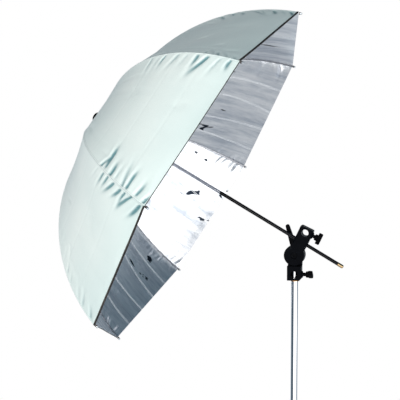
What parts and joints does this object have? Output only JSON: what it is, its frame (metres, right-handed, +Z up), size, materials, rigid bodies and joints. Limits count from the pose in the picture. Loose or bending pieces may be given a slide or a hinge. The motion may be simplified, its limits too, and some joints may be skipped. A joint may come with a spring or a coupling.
{
  "type": "umbrella reflector",
  "caption": "Folding umbrella reflector with ribs, stretchers and a runner, held by a tilting swivel bracket on a stand riser.",
  "frame": {"origin": "bottom centre of the foot spigot of the riser that the bracket sits on", "axes": "+Z up the riser; the umbrella shaft lies in the XZ plane with its crown up at -X and its handle end low at +X; +Y along the tilt axis"},
  "size_m": [0.6415, 0.8814, 0.9395],
  "materials": {
    "chrome_tube": "polished",
    "brass_ring": "satin",
    "steel_spigot": "satin",
    "black_casting": "satin",
    "black_steel": "satin",
    "fibre_disc": "matte",
    "black_plastic": "satin",
    "black_lever": "gloss",
    "steel_screw": "satin",
    "nylon_plug": "satin",
    "black_shaft": "gloss",
    "brass_tip": "satin",
    "steel_wire": "satin",
    "fabric_washer": "matte",
    "spring_steel": "satin",
    "fluted_rib": "satin",
    "rib_tip_cap": "satin",
    "stretcher_steel": "satin",
    "canopy_cloth": "satin"
  },
  "bodies": {
    "riser": {"riser_tube": "chrome_tube", "riser_seat_ring": "brass_ring", "riser_foot_spigot": "steel_spigot"},
    "bracket_lower": {"lower_socket_body": "black_casting", "tilt_pivot_bolt": "black_steel", "tilt_friction_disc": "fibre_disc"},
    "riser_clamp": {"riser_clamp_knob": "black_plastic", "riser_clamp_screw": "steel_screw"},
    "tilt_lever": {"tilt_lock_lever": "black_lever", "lever_screw": "black_steel"},
    "bracket_upper": {"upper_socket_body": "black_casting", "shaft_friction_plug": "nylon_plug", "shaft_friction_screw": "steel_screw"},
    "accessory_clamp": {"accessory_clamp_knob": "black_plastic", "accessory_clamp_screw": "steel_screw"},
    "umbrella_shaft": {"shaft_tube": "black_shaft", "shaft_end_tip": "brass_tip", "crown_notch": "black_plastic", "crown_ring": "steel_wire", "crown_washer": "fabric_washer", "crown_cap": "black_plastic", "runner_stop_pin": "steel_wire"},
    "catch": {"runner_catch": "spring_steel"},
    "runner": {"runner": "black_plastic"},
    "rib_1": {"rib_1": "fluted_rib", "rib_tip_1": "rib_tip_cap", "canopy_gore_1": "canopy_cloth"},
    "stretcher_1": {"stretcher_1": "stretcher_steel"},
    "rib_2": {"rib_2": "fluted_rib", "rib_tip_2": "rib_tip_cap", "canopy_gore_2": "canopy_cloth"},
    "stretcher_2": {"stretcher_2": "stretcher_steel"},
    "rib_3": {"rib_3": "fluted_rib", "rib_tip_3": "rib_tip_cap", "canopy_gore_3": "canopy_cloth"},
    "stretcher_3": {"stretcher_3": "stretcher_steel"},
    "rib_4": {"rib_4": "fluted_rib", "rib_tip_4": "rib_tip_cap", "canopy_gore_4": "canopy_cloth"},
    "stretcher_4": {"stretcher_4": "stretcher_steel"},
    "rib_5": {"rib_5": "fluted_rib", "rib_tip_5": "rib_tip_cap", "canopy_gore_5": "canopy_cloth"},
    "stretcher_5": {"stretcher_5": "stretcher_steel"},
    "rib_6": {"rib_6": "fluted_rib", "rib_tip_6": "rib_tip_cap", "canopy_gore_6": "canopy_cloth"},
    "stretcher_6": {"stretcher_6": "stretcher_steel"},
    "rib_7": {"rib_7": "fluted_rib", "rib_tip_7": "rib_tip_cap", "canopy_gore_7": "canopy_cloth"},
    "stretcher_7": {"stretcher_7": "stretcher_steel"},
    "rib_8": {"rib_8": "fluted_rib", "rib_tip_8": "rib_tip_cap", "canopy_gore_8": "canopy_cloth"},
    "stretcher_8": {"stretcher_8": "stretcher_steel"}
  },
  "joints": [
    {"name": "pan", "type": "hinge", "parent": "riser", "child": "bracket_lower", "pos_m": [0, 0, 0.39], "axis": [0, 0, 1], "continuous": true},
    {"name": "riser_clamp_turn", "type": "hinge", "parent": "bracket_lower", "child": "riser_clamp", "pos_m": [0.02, 0, 0.346], "axis": [1, 0, 0], "continuous": true},
    {"name": "tilt", "type": "hinge", "parent": "bracket_lower", "child": "bracket_upper", "pos_m": [0, 0, 0.39], "axis": [0, 1, 0], "range_deg": [-50, 35]},
    {"name": "tilt_lever_turn", "type": "hinge", "parent": "bracket_lower", "child": "tilt_lever", "pos_m": [0, 0.02, 0.39], "axis": [0, 1, 0], "range_deg": [-60, 60]},
    {"name": "accessory_clamp_turn", "type": "hinge", "parent": "bracket_upper", "child": "accessory_clamp", "pos_m": [0.02435, 0, 0.44176], "axis": [0.9048, 0, -0.4258], "continuous": true},
    {"name": "shaft_slide", "type": "slide", "parent": "bracket_upper", "child": "umbrella_shaft", "axis": [0.8643, 0, -0.503], "range_m": [-0.078, 0.3]},
    {"name": "catch_press", "type": "slide", "parent": "umbrella_shaft", "child": "catch", "axis": [0.503, 0, 0.8643], "range_m": [0, 0.0015], "stiffness_N_per_m": 800},
    {"name": "runner_slide", "type": "slide", "parent": "umbrella_shaft", "child": "runner", "axis": [-0.8643, 0, 0.503], "range_m": [-0.3107, 0]},
    {"name": "rib_1_fold", "type": "hinge", "parent": "umbrella_shaft", "child": "rib_1", "pos_m": [-0.45843, -0.00055, 0.70593], "axis": [-0.0307, -0.9981, -0.0528], "range_deg": [-50.01, 0], "deforming": ["canopy_gore_1"]},
    {"name": "stretcher_1_fold", "type": "hinge", "parent": "rib_1", "child": "stretcher_1", "pos_m": [-0.27815, -0.01496, 0.87368], "axis": [-0.0307, -0.9981, -0.0528], "range_deg": [0, 100.02]},
    {"name": "rib_2_fold", "type": "hinge", "parent": "umbrella_shaft", "child": "rib_2", "pos_m": [-0.45995, -0.00674, 0.70332], "axis": [-0.3767, -0.6626, -0.6473], "range_deg": [-50.01, 0], "deforming": ["canopy_gore_2"]},
    {"name": "stretcher_2_fold", "type": "hinge", "parent": "rib_2", "child": "stretcher_2", "pos_m": [-0.31951, -0.18357, 0.80261], "axis": [-0.3767, -0.6626, -0.6473], "range_deg": [0, 100.02]},
    {"name": "rib_3_fold", "type": "hinge", "parent": "umbrella_shaft", "child": "rib_3", "pos_m": [-0.46322, -0.00898, 0.69769], "axis": [-0.5021, 0.061, -0.8627], "range_deg": [-50.01, 0], "deforming": ["canopy_gore_3"]},
    {"name": "stretcher_3_fold", "type": "hinge", "parent": "rib_3", "child": "stretcher_3", "pos_m": [-0.40874, -0.24465, 0.64931], "axis": [-0.5021, 0.061, -0.8627], "range_deg": [0, 100.02]},
    {"name": "rib_4_fold", "type": "hinge", "parent": "umbrella_shaft", "child": "rib_4", "pos_m": [-0.46634, -0.00596, 0.69234], "axis": [-0.3333, 0.749, -0.5727], "range_deg": [-50.01, 0], "deforming": ["canopy_gore_4"]},
    {"name": "stretcher_4_fold", "type": "hinge", "parent": "rib_4", "child": "stretcher_4", "pos_m": [-0.49355, -0.16241, 0.50358], "axis": [-0.3333, 0.749, -0.5727], "range_deg": [0, 100.02]},
    {"name": "rib_5_fold", "type": "hinge", "parent": "umbrella_shaft", "child": "rib_5", "pos_m": [-0.46747, 0.00055, 0.69041], "axis": [0.0307, 0.9981, 0.0528], "range_deg": [-50.01, 0], "deforming": ["canopy_gore_5"]},
    {"name": "stretcher_5_fold", "type": "hinge", "parent": "rib_5", "child": "stretcher_5", "pos_m": [-0.52427, 0.01496, 0.4508], "axis": [0.0307, 0.9981, 0.0528], "range_deg": [0, 100.02]},
    {"name": "rib_6_fold", "type": "hinge", "parent": "umbrella_shaft", "child": "rib_6", "pos_m": [-0.46595, 0.00674, 0.69302], "axis": [0.3767, 0.6626, 0.6473], "range_deg": [-50.01, 0], "deforming": ["canopy_gore_6"]},
    {"name": "stretcher_6_fold", "type": "hinge", "parent": "rib_6", "child": "stretcher_6", "pos_m": [-0.48291, 0.18357, 0.52187], "axis": [0.3767, 0.6626, 0.6473], "range_deg": [0, 100.02]},
    {"name": "rib_7_fold", "type": "hinge", "parent": "umbrella_shaft", "child": "rib_7", "pos_m": [-0.46267, 0.00898, 0.69864], "axis": [0.5021, -0.061, 0.8627], "range_deg": [-50.01, 0], "deforming": ["canopy_gore_7"]},
    {"name": "stretcher_7_fold", "type": "hinge", "parent": "rib_7", "child": "stretcher_7", "pos_m": [-0.39368, 0.24465, 0.67517], "axis": [0.5021, -0.061, 0.8627], "range_deg": [0, 100.02]},
    {"name": "rib_8_fold", "type": "hinge", "parent": "umbrella_shaft", "child": "rib_8", "pos_m": [-0.45956, 0.00596, 0.704], "axis": [0.3333, -0.749, 0.5727], "range_deg": [-50.01, 0], "deforming": ["canopy_gore_8"]},
    {"name": "stretcher_8_fold", "type": "hinge", "parent": "rib_8", "child": "stretcher_8", "pos_m": [-0.30887, 0.16241, 0.8209], "axis": [0.3333, -0.749, 0.5727], "range_deg": [0, 100.02]}
  ],
  "couplings": [
    {"joint": "rib_1_fold", "follows": "runner_slide", "rad_per_m": 2.8087},
    {"joint": "stretcher_1_fold", "follows": "runner_slide", "rad_per_m": -5.6174},
    {"joint": "rib_2_fold", "follows": "runner_slide", "rad_per_m": 2.8087},
    {"joint": "stretcher_2_fold", "follows": "runner_slide", "rad_per_m": -5.6174},
    {"joint": "rib_3_fold", "follows": "runner_slide", "rad_per_m": 2.8087},
    {"joint": "stretcher_3_fold", "follows": "runner_slide", "rad_per_m": -5.6174},
    {"joint": "rib_4_fold", "follows": "runner_slide", "rad_per_m": 2.8087},
    {"joint": "stretcher_4_fold", "follows": "runner_slide", "rad_per_m": -5.6174},
    {"joint": "rib_5_fold", "follows": "runner_slide", "rad_per_m": 2.8087},
    {"joint": "stretcher_5_fold", "follows": "runner_slide", "rad_per_m": -5.6174},
    {"joint": "rib_6_fold", "follows": "runner_slide", "rad_per_m": 2.8087},
    {"joint": "stretcher_6_fold", "follows": "runner_slide", "rad_per_m": -5.6174},
    {"joint": "rib_7_fold", "follows": "runner_slide", "rad_per_m": 2.8087},
    {"joint": "stretcher_7_fold", "follows": "runner_slide", "rad_per_m": -5.6174},
    {"joint": "rib_8_fold", "follows": "runner_slide", "rad_per_m": 2.8087},
    {"joint": "stretcher_8_fold", "follows": "runner_slide", "rad_per_m": -5.6174}
  ]
}
